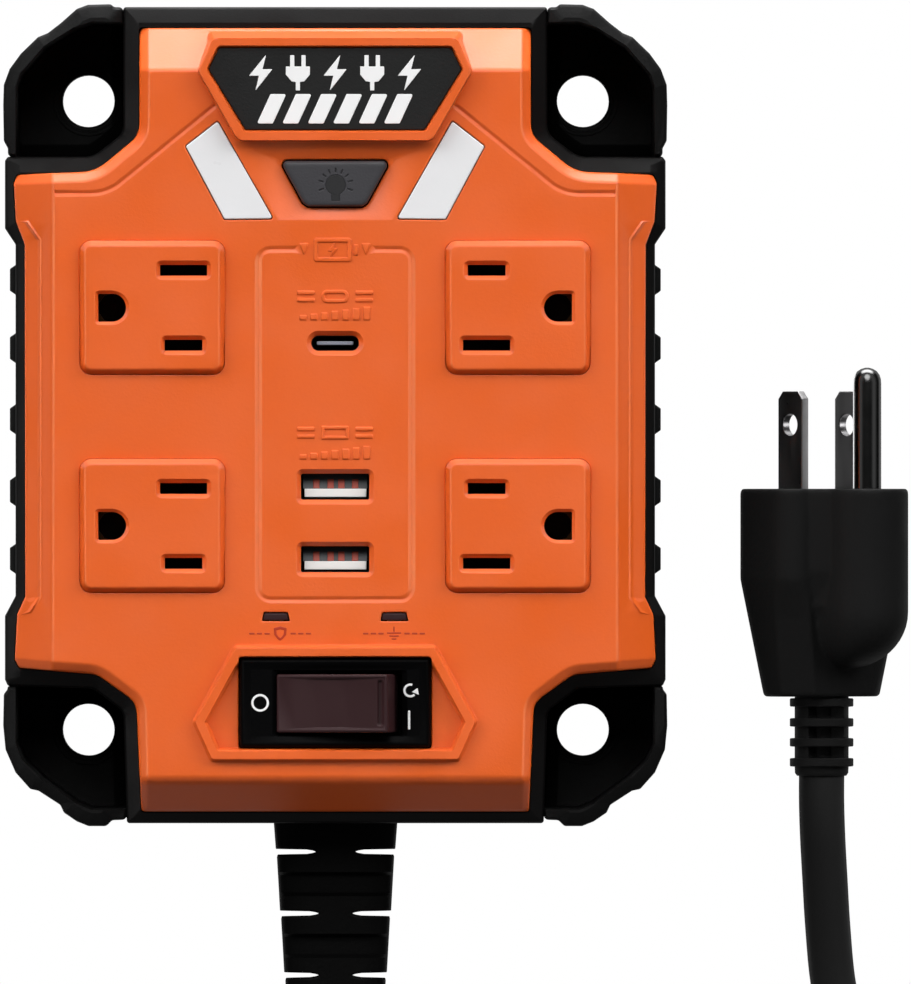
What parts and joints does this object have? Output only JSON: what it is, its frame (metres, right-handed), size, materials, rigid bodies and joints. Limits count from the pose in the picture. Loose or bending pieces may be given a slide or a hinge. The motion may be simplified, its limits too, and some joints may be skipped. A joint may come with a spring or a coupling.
{
  "type": "power strip",
  "caption": "Boxy jobsite power strip with rubber corners, grounded outlets, USB ports, a work light and button, a rocker breaker switch, and a coiled cord with a grounded plug.",
  "frame": {"origin": "on the resting surface, under the middle of the box (without its cord)", "axes": "+Z out of the front face, +Y along the box's long side away from the cord, +X to the right of the face"},
  "size_m": [0.1656, 0.3103, 0.0475],
  "materials": {
    "cover_orange": "fine satin moulded",
    "housing_black": "fine matte moulded",
    "bumper_rubber": "matte rubber",
    "badge_black": "satin",
    "lens_white": "frosted translucent",
    "button_grey": "satin",
    "smoke": "smoky translucent",
    "switch_black": "satin",
    "contact_brass": "plain",
    "plated_steel": "nickel plated",
    "screw_steel": "zinc plated",
    "board_green": "solder mask",
    "tongue_white": "moulded",
    "varistor_blue": "dipped epoxy",
    "transformer_tape": "polyester tape",
    "lead_black": "vinyl insulation",
    "lead_green": "vinyl insulation",
    "cord_black": "matte vinyl jacket",
    "tie_black": "woven hook and loop strap"
  },
  "bodies": {
    "strip": {"rear_housing": "housing_black", "front_cover": "cover_orange", "badge_plate": "badge_black", "light_board": "board_green", "button_switch": "switch_black", "usb_board": "board_green", "main_board": "board_green", "usb_transformer": "transformer_tape", "surge_varistor_1": "varistor_blue", "surge_varistor_2": "varistor_blue", "usb_c_shell": "plated_steel", "usb_c_tongue": "housing_black", "usb_a_shell_upper": "plated_steel", "usb_a_tongue_upper": "tongue_white", "usb_a_shell_lower": "plated_steel", "usb_a_tongue_lower": "tongue_white", "switch_housing": "switch_black", "rocker_pin": "screw_steel", "switch_terminal_line": "contact_brass", "switch_terminal_load": "contact_brass", "line_lead": "lead_black", "neutral_lead": "lead_black", "ground_lead": "lead_green", "cord_strain_relief": "cord_black", "cord_box_end": "cord_black", "cord_plug_end": "cord_black", "cord_coil": "cord_black", "coil_tie": "tie_black", "plug_body": "cord_black", "plug_blade_left": "plated_steel", "plug_blade_right": "plated_steel", "plug_ground_pin": "plated_steel", "side_grip_left": "bumper_rubber", "light_lens_left": "lens_white", "indicator_lens_left": "smoke", "indicator_led_left": "lens_white", "neutral_contacts_left": "contact_brass", "line_contacts_left": "contact_brass", "ground_contacts_left": "contact_brass", "corner_bumper_upper_left": "bumper_rubber", "outlet_upper_left": "cover_orange", "corner_bumper_lower_left": "bumper_rubber", "outlet_lower_left": "cover_orange", "side_grip_right": "bumper_rubber", "light_lens_right": "lens_white", "indicator_lens_right": "smoke", "indicator_led_right": "lens_white", "neutral_contacts_right": "contact_brass", "line_contacts_right": "contact_brass", "ground_contacts_right": "contact_brass", "corner_bumper_upper_right": "bumper_rubber", "outlet_upper_right": "cover_orange", "corner_bumper_lower_right": "bumper_rubber", "outlet_lower_right": "cover_orange", "case_screw_1": "screw_steel", "case_screw_2": "screw_steel", "case_screw_3": "screw_steel", "case_screw_4": "screw_steel"},
    "rocker_body": {"rocker": "smoke"},
    "button_body": {"light_button": "button_grey"}
  },
  "joints": [
    {"name": "rocker_tilt", "type": "hinge", "parent": "strip", "child": "rocker_body", "pos_m": [0.00045, -0.0489, 0.0397], "axis": [0, 1, 0], "range_deg": [0, 24]},
    {"name": "light_button_press", "type": "slide", "parent": "strip", "child": "button_body", "axis": [0, 0, -1], "range_m": [0, 0.0008], "stiffness_N_per_m": 400, "springref_m": -0.0015}
  ]
}
